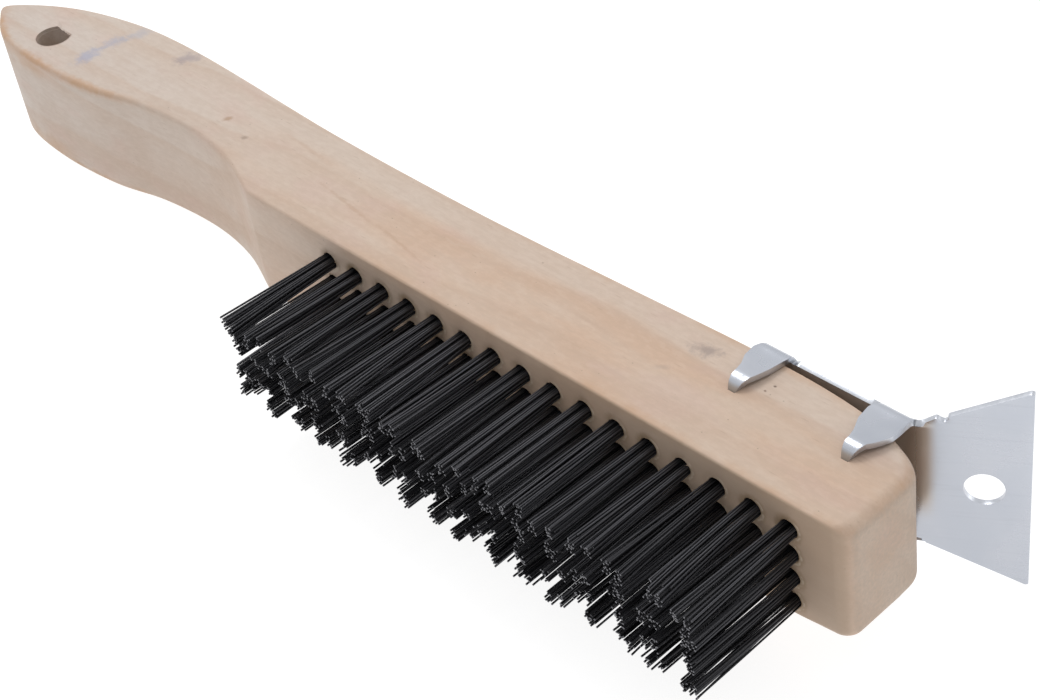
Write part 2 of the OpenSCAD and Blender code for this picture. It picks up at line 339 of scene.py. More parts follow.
def marked_colour(s, colour, x, y, z):
    """Lays the ragged, soft-edged marks on the upper face."""
    top = s.span(z, BOARD_T - 1.5 * MM, BOARD_T - 0.4 * MM)
    speckle = s.noise(s.stretched((520, 520, 520)), detail=4, roughness=0.75)
    for (cx, cy), (long, short), turn, tint, strength in FACE_MARKS:
        cos, sin = math.cos(math.radians(turn)), math.sin(math.radians(turn))
        dx = s.math("SUBTRACT", x, cx * MM)
        dy = s.math("SUBTRACT", y, cy * MM)
        along = s.math("ADD", s.math("MULTIPLY", dx, cos), s.math("MULTIPLY", dy, sin))
        across = s.math("SUBTRACT", s.math("MULTIPLY", dy, cos), s.math("MULTIPLY", dx, sin))
        scaled = s.join(s.math("DIVIDE", along, long * MM), s.math("DIVIDE", across, short * MM), 0)
        away = s.vector("LENGTH", scaled)
        ragged = s.math("MULTIPLY_ADD", speckle, 2.2, s.math("SUBTRACT", away, 1.1))
        patch = s.math("MULTIPLY", s.span(ragged, 1.2, 0.1), top)
        colour = s.mix(s.math("MULTIPLY", patch, strength), colour, tint)
    return colour


def hole_marks(s, columns, x, y, z, patchy):
    """Masks for the dark rim of the hang hole, for painted shade just inside the mouths of the tuft holes,
    for the brown smears round the tuft holes, and for a pale rim on their toe side."""
    first, second = columns[0][0], columns[1][0]
    pitch_x = second.x - first.x
    pitch_z = columns[0][1].z - first.z

    def from_nearest(value, start, pitch, count):
        steps = s.math("DIVIDE", s.math("SUBTRACT", value, start), pitch)
        nearest = s.math("MINIMUM", s.math("MAXIMUM", s.math("ROUND", steps), 0), count - 1)
        return s.math("MULTIPLY", s.math("SUBTRACT", steps, nearest), pitch)

    off_x = from_nearest(x, first.x, pitch_x, COLUMNS)
    off_z = from_nearest(z, first.z, pitch_z, ROWS)
    from_middle = s.vector("LENGTH", s.join(off_x, 0, off_z))
    outside = s.math("SUBTRACT", from_middle, TUFT_HOLE_R)
    on_face = s.math("LESS_THAN", y, FACE_Y + 1.5 * MM)
    rough = s.noise(s.stretched((1100, 1100, 1100)), detail=3)
    uneven = s.math("MULTIPLY_ADD", rough, -0.9 * MM, outside)
    toe_side = s.span(off_x, -0.3 * MM, 1.2 * MM)
    pale_rim = s.math("MULTIPLY", s.span(s.math("ABSOLUTE", uneven), 0.42 * MM, 0.05 * MM), toe_side)
    pale_rim = s.math("MULTIPLY", pale_rim, s.span(rough, 0.38, 0.62, 0.1, 0.6))
    smear = s.math("MULTIPLY", s.span(uneven, 1.3 * MM, -0.3 * MM), s.span(patchy, 0.34, 0.62, 0.12, 0.85))
    # painted shade: darkens the wall just inside each tuft hole's mouth, where shade falls
    tuft_hole_shade = s.math("MULTIPLY", s.span(outside, 0.05 * MM, -0.2 * MM), 0.6)

    from_wall = s.math("SUBTRACT", s.vector("LENGTH", s.join(x, y, 0)), HANG_R)
    from_wall = s.math("MAXIMUM", from_wall, s.math("SUBTRACT", y, MOUTH_EDGE_Y))
    hang_rim = s.span(s.math("ABSOLUTE", from_wall), 0.5 * MM, 0)
    near_top = s.span(z, BOARD_T - 2.5 * MM, BOARD_T)
    burnt = s.span(x, -1 * MM, 3 * MM, 0.15, 1)
    hang_rim = s.math("MULTIPLY", hang_rim, s.math("MULTIPLY", near_top, burnt))
    hang_rim = s.math("MULTIPLY", hang_rim, s.span(patchy, 0.3, 0.7, 0.35, 0.8))
    hole_shade_and_hang_rim = s.math("MAXIMUM", hang_rim, s.math("MULTIPLY", tuft_hole_shade, on_face))
    return hole_shade_and_hang_rim, s.math("MULTIPLY", smear, on_face), s.math("MULTIPLY", pale_rim, on_face)


# Where the shade of a small dent in the first claw is painted as a dark spot
CLAW_DENT_SHADE = (203.2 * MM, 6.1 * MM)


def zinc_material():
    """Zinc-plated sheet: bright, a little blue, with faint rolling lines and handling marks, a painted
    reflection of the wood on the side facing it, and the painted shade of a dent.
    """
    s = Shader("zinc_sheet")
    x, y, z = s.split(s.place)
    clouds = s.noise(s.stretched((90, 90, 60)), detail=3)
    rolled = s.noise(s.stretched((60, 60, 1900)), detail=2)
    grain = s.noise(s.stretched((2600, 2600, 2600)), detail=2)
    colour = s.mix(s.span(clouds, 0.3, 0.7), (0.505, 0.530, 0.585), (0.545, 0.565, 0.615))
    colour = s.mix(s.span(rolled, 0.5, 0.8, 0, 0.25), colour, (0.44, 0.46, 0.51))
    scratch, pick = s.cells(s.vector("MULTIPLY", s.join(
        s.math("MULTIPLY_ADD", z, 0.4, x), y, z), (2600, 2600, 130)))
    lines = s.math("MULTIPLY", s.span(scratch, 0.10, 0.02), s.math("GREATER_THAN", pick, 0.9))
    colour = s.mix(s.math("MULTIPLY", lines, 0.5), colour, (0.68, 0.70, 0.73))
    rough = s.math("ADD", s.span(clouds, 0.25, 0.75, 0.19, 0.27), s.math("MULTIPLY", rolled, 0.06))
    # painted reflection: the side that faces the wood is tinted warm brown, standing in for the wood
    # reflected in it; never rubbed bright, it is also rougher there
    ny = s.normal()[1]
    wood_reflection_zone = s.math("MULTIPLY", s.span(ny, -0.6, -0.85), s.span(x, 235.6 * MM, 233.4 * MM))
    wood_reflection_zone = s.math("MULTIPLY", wood_reflection_zone, s.span(z, 4 * MM, 11 * MM))
    colour = s.mix(s.math("MULTIPLY", wood_reflection_zone, 0.85), colour, (0.53, 0.455, 0.385))
    unrubbed = s.math("MULTIPLY", s.span(x, 233 * MM, 229 * MM), s.math("MULTIPLY", wood_reflection_zone, 0.4))
    rough = s.math("ADD", rough, unrubbed)
    dent_x, dent_y = CLAW_DENT_SHADE
    to_dent = s.join(s.math("SUBTRACT", x, dent_x), s.math("SUBTRACT", y, dent_y), 0)
    dent = s.vector("LENGTH", to_dent)
    # painted shade: a small dark spot standing in for the shade of the dent
    colour = s.mix(s.math("MULTIPLY", s.span(dent, 0.5 * MM, 0.2 * MM), 0.8), colour, (0.16, 0.165, 0.18))
    s.set(Base_Color=colour, Metallic=1.0, Roughness=rough)
    height = s.math("ADD", s.math("MULTIPLY", grain, 0.3), s.math("MULTIPLY", rolled, 0.6))
    s.bump(s.math("SUBTRACT", height, s.math("MULTIPLY", lines, 0.6)), 0.010 * MM, 0.35)
    return s.material


def sheared_edge_material():
    """Cut edge of the sheet: torn metal, a little duller than the plated faces."""
    s = Shader("zinc_edge")
    torn = s.noise(s.stretched((900, 900, 2200)), detail=3)
    s.set(Base_Color=s.mix(torn, (0.52, 0.54, 0.59), (0.62, 0.64, 0.68)), Metallic=1.0)
    s.set(Roughness=s.span(torn, 0.3, 0.7, 0.32, 0.42))
    s.bump(torn, 0.02 * MM, 0.2)
    return s.material


def wire_material():
    """Oiled black spring wire, with drawing lines along it and its own tone in each wire."""
    s = Shader("wire")
    tone = s.attribute("tone")
    scale = s.noise(s.stretched((900, 120, 900)), detail=3)
    colour = s.mix(tone, (0.021, 0.021, 0.024), (0.070, 0.070, 0.078))
    colour = s.mix(s.span(scale, 0.5, 0.75, 0, 0.3), colour, (0.085, 0.082, 0.086))
    s.set(Base_Color=colour, Metallic=0.6, Roughness=s.span(scale, 0.3, 0.7, 0.28, 0.38))
    s.set(Specular_IOR_Level=0.5)
    drawn = s.noise(s.stretched((9000, 200, 9000)), detail=1)
    s.bump(drawn, 0.004 * MM, 0.3)
    return s.material


def cut_wire_material():
    """Sheared ends of the wires, where the bright steel shows."""
    s = Shader("wire_cut")
    torn = s.noise(s.stretched((9000, 9000, 9000)), detail=2)
    s.set(Base_Color=s.mix(torn, (0.07, 0.07, 0.075), (0.27, 0.27, 0.29)), Metallic=0.9)
    s.set(Roughness=s.span(torn, 0.3, 0.7, 0.35, 0.55))
    s.bump(torn, 0.02 * MM, 0.6)
    return s.material


def staple_material():
    """Drawn steel staple wire."""
    s = Shader("staple_steel")
    drawn = s.noise(s.stretched((2500, 2500, 500)), detail=2)
    s.set(Base_Color=s.mix(drawn, (0.30, 0.30, 0.31), (0.52, 0.52, 0.54)), Metallic=0.95)
    s.set(Roughness=s.span(drawn, 0.3, 0.7, 0.30, 0.48))
    s.bump(drawn, 0.02 * MM, 0.5)
    return s.material


# ---------------------------------------------------------------- mesh helpers

def object_from(name, bm, *materials):
    mesh = bpy.data.meshes.new(name)
    bm.to_mesh(mesh)
    bm.free()
    made = bpy.data.objects.new(name, mesh)
    bpy.context.scene.collection.objects.link(made)
    for material in materials:
        mesh.materials.append(material)
    return made


def apply_modifiers(made):
    """Bakes the object's modifiers into its mesh."""
    graph = bpy.context.evaluated_depsgraph_get()
    mesh = bpy.data.meshes.new_from_object(made.evaluated_get(graph), depsgraph=graph)
    made.modifiers.clear()
    old = made.data
    made.data = mesh
    bpy.data.meshes.remove(old)


def cut_away(made, *cutters):
    for cutter in cutters:
        modifier = made.modifiers.new("cut", "BOOLEAN")
        modifier.operation = "DIFFERENCE"
        modifier.solver = "EXACT"
        modifier.object = cutter
        bpy.context.view_layer.update()
        apply_modifiers(made)
        bpy.data.objects.remove(cutter)


def loft(bm, loops, closed=True):
    """Quads between loops of points, with the same number of points in each."""
    rings = [[bm.verts.new(p) for p in loop] for loop in loops]
    n = len(rings[0])
    for a, b in zip(rings, rings[1:]):
        for i in range(n if closed else n - 1):
            j = (i + 1) % n
            bm.faces.new((a[i], a[j], b[j], b[i]))
    return rings


def turned(profile, centre, along, steps, bm):
    """A closed body turned about an axis through centre. The profile lists (distance along, radius)."""
    along = Vector(along)
    side = along.orthogonal().normalized()
    other = along.cross(side)
    turns = [2 * math.pi * k / steps for k in range(steps)]
    loops = [
        [Vector(centre) + d * along + r * (math.cos(t) * side + math.sin(t) * other) for t in turns]
        for d, r in profile
    ]
    rings = loft(bm, loops)
    bm.faces.new(rings[0][::-1])
    bm.faces.new(rings[-1])


def smoothstep(t):
    t = min(1.0, max(0.0, t))
    return t * t * (3 - 2 * t)


def inside(point, loop):
    """Whether a 2-D point lies inside a closed loop."""
    within = False
    x, y = point
    for (ax, ay), (bx, by) in zip(loop, loop[1:] + loop[:1]):
        if (ay > y) != (by > y) and x < ax + (y - ay) * (bx - ax) / (by - ay):
            within = not within
    return within


def clearance(point, loop):
    """Distance from a 2-D point to the nearest point of a loop."""
    x, y = point
    return min(math.hypot(x - px, y - py) for px, py in loop)


# Points of a flat outline closer than this are one point
MERGE = 1e-7


def filled(loop, holes, extra, gap):
    """Triangles that fill a loop and leave its holes open, with the extra points that stand more
    than gap from any edge. Returns the points, which begin with the loop and holes, and triangles."""
    loops = [loop, *holes]
    points = [Vector(p) for one in loops for p in one]
    edges = []
    start = 0
    for one in loops:
        n = len(one)
        edges += [(start + i, start + (i + 1) % n) for i in range(n)]
        start += n
    for p in extra:
        if inside(p, loop) and not any(inside(p, h) for h in holes):
            if min(clearance(p, one) for one in loops) > gap:
                points.append(Vector(p))
    verts, _, faces, *_ = delaunay_2d_cdt(points, edges, [list(range(len(loop)))], 1, MERGE)
    kept = []
    for face in faces:
        centre = sum((verts[i] for i in face), Vector((0, 0))) / len(face)
        if not any(inside(centre, h) for h in holes):
            kept.append(face)
    return verts, kept


# ---------------------------------------------------------------- wooden handle and block

# Points that the outline of the board passes through, in millimetres from the axis of the
# hang hole, from the neck corner round the handle to the toe
BOARD_OUTLINE = [
    (85.5, -11), (72, -6), (57.5, -4), (40, -5), (25, -8), (7.5, -9), (-9, -7.5),
    (-19, -2.5), (-21.5, 2), (-8.5, 9.8), (9, 14.7), (28, 16.2), (55, 15.2), (90.5, 13.2),
    (130, 12.7), (168, 13.7), (191, 14.4), (202, 14.5), (212, 14.3), (221, 13.6), (228, 12.5),
    (233, 11.2), (237, 9.4), (239.4, 6.6), (239.9, 2),
]
NOSE_X = TOE_X + 0.4 * MM
TOE_CORNER_R = 3.4 * MM
HANDLE_EDGE_R = 1.0 * MM
BLOCK_EDGE_R = 0.6 * MM
TOE_EDGE_R = 2.6 * MM
TOE_BLEND_FRONT = 5 * MM
TOE_BLEND_BACK = 16 * MM
HANG_R = 4 * MM
# Where the mouth of the hang hole stops at its splinter
MOUTH_EDGE_Y = 2.75 * MM
TUFT_HOLE_R = 1.88 * MM
TUFT_HOLE_DEPTH = 13 * MM
SPLINE_STEPS = 9
EDGE_STEPS = 7
SIDE_STEPS = 8
CORNER_STEPS = 10
FACE_RUNS = 44
# Spacing of the triangles on the flat faces, and the room they leave along its rim
FACE_STEP = 2.6 * MM
RIM_ROOM = 1.1 * MM
SWELL = 0.06 * MM


def spline(points, steps):
    """Smooth open curve through all the points."""
    q = [2 * points[0] - points[1], *points, 2 * points[-1] - points[-2]]
    out = []
    for a, b, c, d in zip(q, q[1:], q[2:], q[3:]):
        for k in range(steps):
            t = k / steps
            out.append(0.5 * (2 * b + (c - a) * t + (2 * a - 5 * b + 4 * c - d) * t * t
                              + (3 * b - a - 3 * c + d) * t ** 3))
    out.append(points[-1])
    return out


def board_outline():
    loop = spline([Vector(p) * MM for p in BOARD_OUTLINE], SPLINE_STEPS)
    centre = Vector((NOSE_X - TOE_CORNER_R, FACE_Y + TOE_CORNER_R))
    for k in range(CORNER_STEPS + 1):
        a = math.radians(90 / CORNER_STEPS * k)
        loop.append(centre + TOE_CORNER_R * Vector((math.cos(a), -math.sin(a))))
    start = loop[-1].x
    run = (loop[0].x - start) / FACE_RUNS
    loop += [Vector((start + run * k, FACE_Y)) for k in range(1, FACE_RUNS)]
    return loop


def inward_normals(loop):
    out = []
    n = len(loop)
    for i in range(n):
        d = (loop[(i + 1) % n] - loop[i - 1]).normalized()
        out.append(Vector((d.y, -d.x)))
    return out


def edge_radius(p, upper):
    """Sanded by hand, so the rounding is never quite even; it opens out round the toe."""
    reach = TOE_BLEND_FRONT if upper and p.y < 0 else TOE_BLEND_BACK
    blend = smoothstep((p.x - NOSE_X + reach) / reach)
    worn = HANDLE_EDGE_R + (BLOCK_EDGE_R - HANDLE_EDGE_R) * smoothstep((p.x - 70 * MM) / (25 * MM))
    toe = TOE_EDGE_R if upper else 1.2 * TOE_EDGE_R
    plain = worn + (toe - worn) * blend
    wobble = noise.noise(Vector((p.x * 70, p.y * 70, 3.7 if upper else 9.1)))
    return plain * (1 + 0.14 * wobble * (1 - blend))


def board_ring(loop, normals, inset, depth, upper):
    """The outline moved inwards, at a share of the rounding's depth below the face."""
    out = []
    for p, n in zip(loop, normals):
        r = edge_radius(p, upper)
        q = p + (r * inset) * n
        h = r * depth
        out.append(Vector((q.x, q.y, board_lo.z + (BOARD_T - h if upper else h))))
    return out


def wood_blank():
    """The board before it is drilled, with its rounded edges and faces of even triangles."""
    loop = board_outline()
    normals = inward_normals(loop)
    quarter = [math.pi / 2 * k / EDGE_STEPS for k in range(EDGE_STEPS + 1)]
    lower = [board_ring(loop, normals, 1 - math.sin(a), 1 - math.cos(a), False) for a in quarter]
    upper = [board_ring(loop, normals, 1 - math.sin(a), 1 - math.cos(a), True) for a in quarter]
    between = []
    for k in range(1, SIDE_STEPS):
        t = k / SIDE_STEPS
        between.append([a.lerp(b, t) for a, b in zip(lower[-1], upper[-1])])
    bm = bmesh.new()
    rings = loft(bm, lower + between + upper[::-1])
    for ring, flip in ((rings[0], False), (rings[-1], True)):
        rim = [(v.co.x, v.co.y) for v in ring]
        grid = []
        count_x = int((board_hi.x - board_lo.x) / FACE_STEP) + 2
        count_y = int((board_hi.y - board_lo.y) / FACE_STEP) + 2
        for i in range(count_x):
            for j in range(count_y):
                x = board_lo.x + (i + 0.5 * (j % 2)) * FACE_STEP
                grid.append((x, board_lo.y + j * FACE_STEP))
        points, triangles = filled(rim, [], grid, RIM_ROOM)
        level = ring[0].co.z
        verts = list(ring) + [bm.verts.new((p.x, p.y, level)) for p in points[len(rim):]]
        for a, b, c in triangles:
            bm.faces.new([verts[i] for i in ((c, b, a) if flip else (a, b, c))])
    bmesh.ops.recalc_face_normals(bm, faces=bm.faces)
    # the faces are planed flat but not perfectly so
    for v in bm.verts:
        swell = noise.noise(Vector((v.co.x * 28, v.co.y * 45, v.co.z * 45)))
        v.co += v.normal * swell * SWELL
    return bm


def tuft_places():
    """Middle of each tuft on the bristle face, column by column."""
    columns = []
    for c in range(1, COLUMNS + 1):
        lo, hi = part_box(f"tufts_col_{c:02d}")
        half_w = 0.5 * BUNDLE_W
        first = lo.z + half_w
        pitch = (hi.z - half_w - first) / (ROWS - 1)
        x = 0.5 * (lo.x + hi.x)
        columns.append([Vector((x, FACE_Y, first + pitch * r)) for r in range(ROWS)])
    return columns


def tuft_hole_cutter(columns):
    """Drilled holes with slightly broken, uneven rims."""
    rng = random.Random(11)
    bm = bmesh.new()
    for column in columns:
        for centre in column:
            flare = rng.uniform(0.03, 0.08) * MM
            profile = [
                (-1 * MM, TUFT_HOLE_R + 2.2 * flare),
                (0, TUFT_HOLE_R + flare),
                (0.35 * flare, TUFT_HOLE_R + 0.35 * flare),
                (flare, TUFT_HOLE_R),
                (TUFT_HOLE_DEPTH - 0.8 * MM, TUFT_HOLE_R),
                (TUFT_HOLE_DEPTH, 0.25 * TUFT_HOLE_R),
            ]
            turned(profile, centre, (0, 1, 0), 28, bm)
    bmesh.ops.recalc_face_normals(bm, faces=bm.faces)
    # push the rims about a little
    for v in bm.verts:
        if v.co.y < FACE_Y + 0.2 * MM:
            shift = noise.noise(v.co * 1400)
            v.co += Vector((shift, 0, -shift)) * 0.09 * MM
    return object_from("tuft_holes", bm)


def hang_hole_cutters():
    """A plain bore, and a mouth on the upper side that stops at a splinter left along the grain."""
    lip_z = board_hi.z - 0.75 * MM
    body = bmesh.new()
    profile = [
        (-1 * MM, HANG_R + 0.6 * MM), (board_lo.z, HANG_R + 0.25 * MM), (0.4 * MM, HANG_R),
        (lip_z + 0.01 * MM, HANG_R),
    ]
    turned(profile, (0, 0, 0), (0, 0, 1), 56, body)
    mouth = bmesh.new()
    loop = []
    for k in range(72):
        a = 2 * math.pi * k / 72
        r = HANG_R + 0.10 * MM + 0.05 * MM * noise.noise(Vector((3 * math.cos(a), 3 * math.sin(a), 0)))
        x, y = r * math.cos(a), r * math.sin(a)
        if y > MOUTH_EDGE_Y:
            # the splinter's free edge is torn, and falls towards the toe
            torn = 0.16 * MM * noise.noise(Vector((x * 2600, 5.2, 1.3)))
            y = MOUTH_EDGE_Y + torn - 0.12 * x
        loop.append((x, y))
    loops = [[Vector((x, y, z)) for x, y in loop] for z in (lip_z, board_hi.z + 1 * MM)]
    rings = loft(mouth, loops)
    mouth.faces.new(rings[0][::-1])
    mouth.faces.new(rings[1])
    bmesh.ops.recalc_face_normals(body, faces=body.faces)
    bmesh.ops.recalc_face_normals(mouth, faces=mouth.faces)
    return object_from("hang_bore", body), object_from("hang_mouth", mouth)


def splinters(columns, bm):
    """Fibres torn up at the rims of the tuft holes and at the hang hole."""
    rng = random.Random(23)

    def fibre(root, direction, lift, length, width):
        direction = Vector(direction).normalized()
        lift = Vector(lift)
        across = direction.cross(lift).normalized() * width
        sunk = lift * 0.2 * MM
        base = [root - across, root + across, root + across * 0.8 - sunk, root - across * 0.8 - sunk]
        tip = root + direction * length + lift * length * rng.uniform(0.25, 0.6)
        quad = [bm.verts.new(p) for p in base]
        end = bm.verts.new(tip)
        for i in range(4):
            bm.faces.new((quad[i], quad[(i + 1) % 4], end))
        bm.faces.new(quad[::-1])

    for column in columns:
        for centre in column:
            for _ in range(rng.choice((1, 2, 2, 3))):
                a = rng.uniform(0, 2 * math.pi)
                rim = centre + (TUFT_HOLE_R + 0.25 * MM) * Vector((math.cos(a), 0, math.sin(a)))
                along = Vector((math.copysign(1, math.cos(a)), 0, rng.uniform(-0.3, 0.3)))
                length = rng.uniform(0.3, 0.8) * MM
                fibre(rim, -along, (0, -1, 0), length, rng.uniform(0.06, 0.13) * MM)
    top = board_hi.z
    fibre(Vector((-1.2 * MM, 2.9 * MM, top)), (-1, 0.55, 0), (0, 0, 1), 2.9 * MM, 0.16 * MM)
    fibre(Vector((0.6 * MM, 2.8 * MM, top)), (-1, 0.1, 0), (0, 0, 1), 1.3 * MM, 0.10 * MM)


def store(mesh, name, values):
    attribute = mesh.attributes.new(name, "FLOAT", "POINT")
    attribute.data.foreach_set("value", values)


def handle_piece(columns, claw_cutter):
    made = object_from("handle_wood", wood_blank(), wood_material(columns))
    cut_away(made, tuft_hole_cutter(columns), *hang_hole_cutters(), claw_cutter)
    bm = bmesh.new()
    bm.from_mesh(made.data)
    splinters(columns, bm)
    bmesh.ops.recalc_face_normals(bm, faces=bm.faces)
    bm.to_mesh(made.data)
    bm.free()
    mesh = made.data
    loop = board_outline()
    corner = []
    for v in mesh.vertices:
        p = v.co
        near_face = min(p.z - board_lo.z, board_hi.z - p.z)
        outline_gap = min((Vector((p.x, p.y)) - q).length for q in loop)
        corner.append(math.hypot(near_face, outline_gap))
    store(mesh, "edge", corner)
    mesh.shade_smooth()
    mesh.set_sharp_from_angle(angle=math.radians(38))
    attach(made, "root")
    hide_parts("handle_block")


# ---------------------------------------------------------------- scraper

SHEET_T = 1.1 * MM
WEB_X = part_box("scraper")[0].x
WEB_END_X = 230.4 * MM
WEB_Y = 15.6 * MM
BEND_R = 4.5 * MM + SHEET_T / 2
BLADE_ANGLE = math.radians(31)
FOLD_R = 0.7 * MM + SHEET_T / 2
FACE_GAP = 0.2 * MM
TIP_R = 2.1 * MM + SHEET_T / 2
TIP_ANGLE = math.radians(66)
TIP_LEN = 1.6 * MM
CLAW_SLOPE = math.radians(5.5)
CLAW_EASE = 1.2 * MM
MID_Z = 0.5 * (board_lo.z + board_hi.z)
BEND_U = WEB_END_X - WEB_X
BLADE_U = BEND_U + BEND_R * BLADE_ANGLE
WEB_HALF = 0.5 * BOARD_T + FACE_GAP
FOLD_V = WEB_HALF - (FOLD_R - SHEET_T / 2)
FLAT_V = FOLD_V + FOLD_R * math.pi / 2
BLADE_LEN = 17.9 * MM
BLADE_HALF = 22.2 * MM
BLADE_HOLE_U = BLADE_U + 10.2 * MM
BLADE_HOLE_R = 3.5 * MM
NICK_FROM_BEND = 3.1 * MM
BLANK_STEP = 0.9 * MM
EDGE_STEP = 0.45 * MM
# For each claw: left edge of its fold, width there, length of its flat part, and how far it leans
CLAWS = [(1.2 * MM, 7.0 * MM, 8.0 * MM, 2.35 * MM), (26.5 * MM, 7.5 * MM, 9.2 * MM, 2.8 * MM)]


def claw_outline(left, wide, flat, lean):
    """Edge of one claw in the flat blank, up its left side, round its point and down again."""
    bend = FLAT_V + flat
    end = bend + TIP_R * (TIP_ANGLE + CLAW_SLOPE) + TIP_LEN
    middle = 0.5 * (FLAT_V + bend)
    return [
        (left + 1.15 * MM, FLAT_V - 0.9 * MM),
        (left + 0.5 * MM, FLAT_V + 0.2 * MM),
        (left + 0.2 * MM, FLAT_V + 1.2 * MM),
        (left + 0.3 * lean, middle),
        (left + 0.8 * lean, bend - 1.8 * MM),
        (left + lean, bend),
        (left + lean + 0.1 * MM, bend + 1.3 * MM),
        (left + lean + 0.55 * MM, bend + 2.6 * MM),
        (left + lean + 1.3 * MM, end),
        (left + lean + 2.0 * MM, end),
        (left + lean + 2.75 * MM, bend + 2.5 * MM),
        (left + lean + 3.2 * MM, bend + 1.2 * MM),
        (left + lean + 3.65 * MM, bend - 0.3 * MM),
        (left + 0.25 * lean + 0.87 * wide, middle + 0.4 * MM),
        (left + wide, FLAT_V + 1.2 * MM),
        (left + wide + 0.2 * MM, FLAT_V + 0.1 * MM),
    ]


def blade_outline(nicked, high):
    """Edge of the blade in the flat blank, from its root to its free end."""
    nick_u = BLADE_U + NICK_FROM_BEND
    nick_v = high + (BLADE_HALF - high) / BLADE_LEN * NICK_FROM_BEND
    end_u = BLADE_U + BLADE_LEN
    nick = [
        (nick_u - 0.8 * MM, nick_v - 0.15 * MM),
        (nick_u - 0.15 * MM, nick_v - 0.6 * MM),
        (nick_u + 0.5 * MM, nick_v - 0.9 * MM),
        (nick_u + 0.95 * MM, nick_v - 0.6 * MM),
        (nick_u + 1.1 * MM, nick_v + 0.3 * MM),
    ]
    return [
        (BLADE_U + 0.3 * MM, high),
        *(nick if nicked else []),
        (end_u - 0.5 * MM, BLADE_HALF - 0.2 * MM),
        (end_u, BLADE_HALF - 0.45 * MM),
    ]


def sheet_half_outline(nicked):
    """Upper half of the flat blank, from the left end of the web to the free edge of the blade.
    u runs along the strip and v up from its middle line."""
    first, second = CLAWS
    first_end = first[0] + first[1]
    second_end = second[0] + second[1]
    edge = WEB_HALF
    high = edge + 0.5 * MM
    return [
        (first[0] + 1.5 * MM, FOLD_V - 3 * MM),
        (first[0] + 1.5 * MM, FOLD_V - 0.6 * MM),
        *claw_outline(*first),
        (first_end + 0.3 * MM, edge - 0.45 * MM),
        (first_end + 0.8 * MM, edge - 0.5 * MM),
        (first_end + 1.3 * MM, edge - 0.1 * MM),
        (first_end + 1.8 * MM, edge),
        (second[0] - 1.4 * MM, edge),
        (second[0] - 0.3 * MM, edge + 0.2 * MM),
        (second[0] + 0.6 * MM, high),
        *claw_outline(*second),
        (second_end + 0.6 * MM, edge + 0.4 * MM),
        (second_end + 1.4 * MM, high - 0.1 * MM),
        *blade_outline(nicked, high),
    ]


def finely(points, step):
    """The open chain with points no further apart than step."""
    out = []
    for (ax, ay), (bx, by) in zip(points, points[1:]):
        n = max(1, math.ceil(math.hypot(bx - ax, by - ay) / step))
        out += [(ax + (bx - ax) * k / n, ay + (by - ay) * k / n) for k in range(n)]
    return out + [points[-1]]


def softened(points, rounds=2):
    """Corner-cutting on an open chain, which keeps its ends."""
    for _ in range(rounds):
        out = [points[0]]
        for (ax, ay), (bx, by) in zip(points, points[1:]):
            out.append((0.75 * ax + 0.25 * bx, 0.75 * ay + 0.25 * by))
            out.append((0.25 * ax + 0.75 * bx, 0.25 * ay + 0.75 * by))
        out.append(points[-1])
        points = out
    return points


def sheet_point(u, v):
    """Place of a point of the flat blank once the sheet is folded and bent: its middle surface."""
    if u <= BEND_U:
        turn = 0.0
        base = Vector((WEB_X + u, WEB_Y + SHEET_T / 2, 0))
    else:
        turn = min((u - BEND_U) / BEND_R, BLADE_ANGLE)
        centre = Vector((WEB_END_X, WEB_Y + SHEET_T / 2 + BEND_R, 0))
        base = centre + BEND_R * Vector((math.sin(turn), -math.cos(turn), 0))
        base += max(0.0, u - BLADE_U) * Vector((math.cos(turn), math.sin(turn), 0))
    to_wood = Vector((math.sin(turn), -math.cos(turn), 0))
    height = abs(v)
    across, up = 0.0, height
    if height > FOLD_V:
        if height < FLAT_V:
            a = (height - FOLD_V) / FOLD_R
            across, up = FOLD_R * (1 - math.cos(a)), FOLD_V + FOLD_R * math.sin(a)
        else:
            across, up = FOLD_R + height - FLAT_V, FOLD_V + FOLD_R
            claw = CLAWS[0] if u < 0.5 * CLAWS[1][0] else CLAWS[1]
            flat = claw[2]
            past = height - FLAT_V - flat
            if past > 0:
                heading = max(CLAW_SLOPE - past / TIP_R, -TIP_ANGLE)
                rest = max(0.0, past - TIP_R * (TIP_ANGLE + CLAW_SLOPE))
                across = FOLD_R + flat + TIP_R * (math.sin(CLAW_SLOPE) - math.sin(heading))
                across += rest * math.cos(heading)
                up += math.tan(CLAW_SLOPE) * (flat - CLAW_EASE)
                up += TIP_R * (math.cos(heading) - math.cos(CLAW_SLOPE)) + rest * math.sin(heading)
            else:
                up = dished(u, height - FLAT_V, claw, up)
        folded = smoothstep((BLADE_U + 0.6 * MM - u) / (1.2 * MM))
        across, up = across * folded, height + (up - height) * folded
    side = 1 if v >= 0 else -1
    return base + across * to_wood + Vector((0, 0, MID_Z + side * up))


def dished(u, along, claw, up):
    """The flat of a claw climbs a little towards its tip, and the press leaves it slightly hollow."""
    left, wide, flat, lean = claw
    ease = 0.5 * along * along / CLAW_EASE if along < CLAW_EASE else along - 0.5 * CLAW_EASE
    share = smoothstep(along / (2 * CLAW_EASE))
    up += math.tan(CLAW_SLOPE) * (ease - 0.5 * CLAW_EASE * share)
    t = along / flat
    middle = left + 0.5 * wide + lean * t * 0.7
    hollow = 0.10 * MM * math.exp(-((u - middle) / (2.2 * MM)) ** 2) * math.sin(math.pi * t)
    return up - hollow


